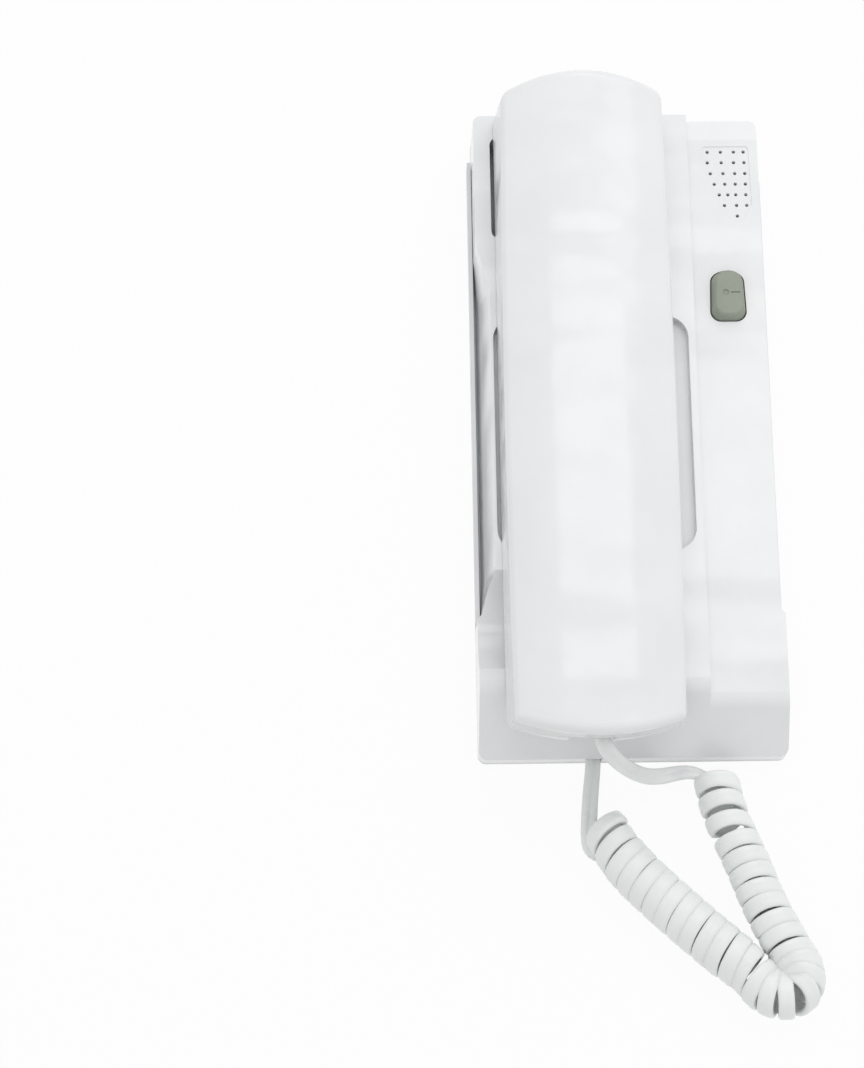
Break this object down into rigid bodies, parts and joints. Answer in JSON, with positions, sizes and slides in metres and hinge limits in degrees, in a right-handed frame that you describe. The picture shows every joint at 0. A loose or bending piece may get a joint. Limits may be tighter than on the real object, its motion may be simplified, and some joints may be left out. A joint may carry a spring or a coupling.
{
  "type": "audio intercom handset",
  "caption": "White wall intercom station lying on its back: handset in its cradle, door-release button, call grille and curly cord.",
  "frame": {"origin": "middle of the back plate's back face, which lies on the table here and goes on the wall in use", "axes": "+Z out of the face, +Y towards the ear end, +X towards the release button"},
  "size_m": [0.103, 0.2801, 0.0525],
  "materials": {
    "white_gloss": "glossy",
    "white_back": "satin",
    "button_grey": "satin",
    "cord_pvc": "satin",
    "clear_plug": "glossy",
    "contact_gold": "polished",
    "steel": "zinc plated",
    "board_green": "satin",
    "black_plastic": "satin",
    "can_aluminium": "satin",
    "terminal_green": "satin",
    "magnet_steel": "satin",
    "film": "satin",
    "foam": "matte",
    "wire_red": "satin",
    "ceramic_beige": "satin"
  },
  "bodies": {
    "base": {"back_plate": "white_back", "front_cover": "white_gloss", "release_switch": "black_plastic", "circuit_board": "board_green", "board_capacitors": "can_aluminium", "board_chips": "black_plastic", "board_resistors": "ceramic_beige", "board_screws": "steel", "case_screws": "steel", "hook_switch": "black_plastic", "terminal_block": "terminal_green", "terminal_screws": "steel", "ringer_frame": "black_plastic", "ringer_magnet": "magnet_steel", "ringer_diaphragm": "film", "ringer_posts": "white_back", "ringer_wires": "wire_red", "cord_clamp": "white_back", "clamp_screws": "steel", "cord_header": "clear_plug", "cord_wires": "wire_red", "cord_base_tail": "cord_pvc", "cord_coil": "cord_pvc", "cord_handset_tail": "cord_pvc"},
    "handset": {"handset_cover": "white_gloss", "handset_underside": "white_gloss", "receiver_gasket": "foam", "receiver_case": "black_plastic", "receiver_diaphragm": "film", "receiver_magnet": "magnet_steel", "microphone_boot": "foam", "microphone_capsule": "can_aluminium", "handset_weight": "magnet_steel", "handset_screws": "steel", "handset_jack": "black_plastic", "handset_wires": "wire_red", "plug_handset": "clear_plug", "plug_contacts": "contact_gold"},
    "hook_post": {"hook_plunger": "white_back"},
    "hook_arm": {"hook_lever": "steel"},
    "button": {"release_button": "button_grey", "release_plunger": "white_back"}
  },
  "joints": [
    {"name": "handset_lift", "type": "slide", "parent": "base", "child": "handset", "axis": [0, 0, 1], "range_m": [0, 0.06]},
    {"name": "hook_rise", "type": "slide", "parent": "base", "child": "hook_post", "axis": [0, 0, 1], "range_m": [0, 0.004]},
    {"name": "lever_rise", "type": "hinge", "parent": "base", "child": "hook_arm", "pos_m": [-0.0128, 0.0373, 0.01565], "axis": [1, 0, 0], "range_deg": [0, 10]},
    {"name": "release_press", "type": "slide", "parent": "base", "child": "button", "axis": [0, 0, -1], "range_m": [0, 0.0015], "stiffness_N_per_m": 600, "springref_m": -0.0005}
  ],
  "couplings": [
    {"joint": "hook_rise", "follows": "handset_lift", "ratio": 0.0665},
    {"joint": "lever_rise", "follows": "handset_lift", "rad_per_m": 2.9}
  ]
}
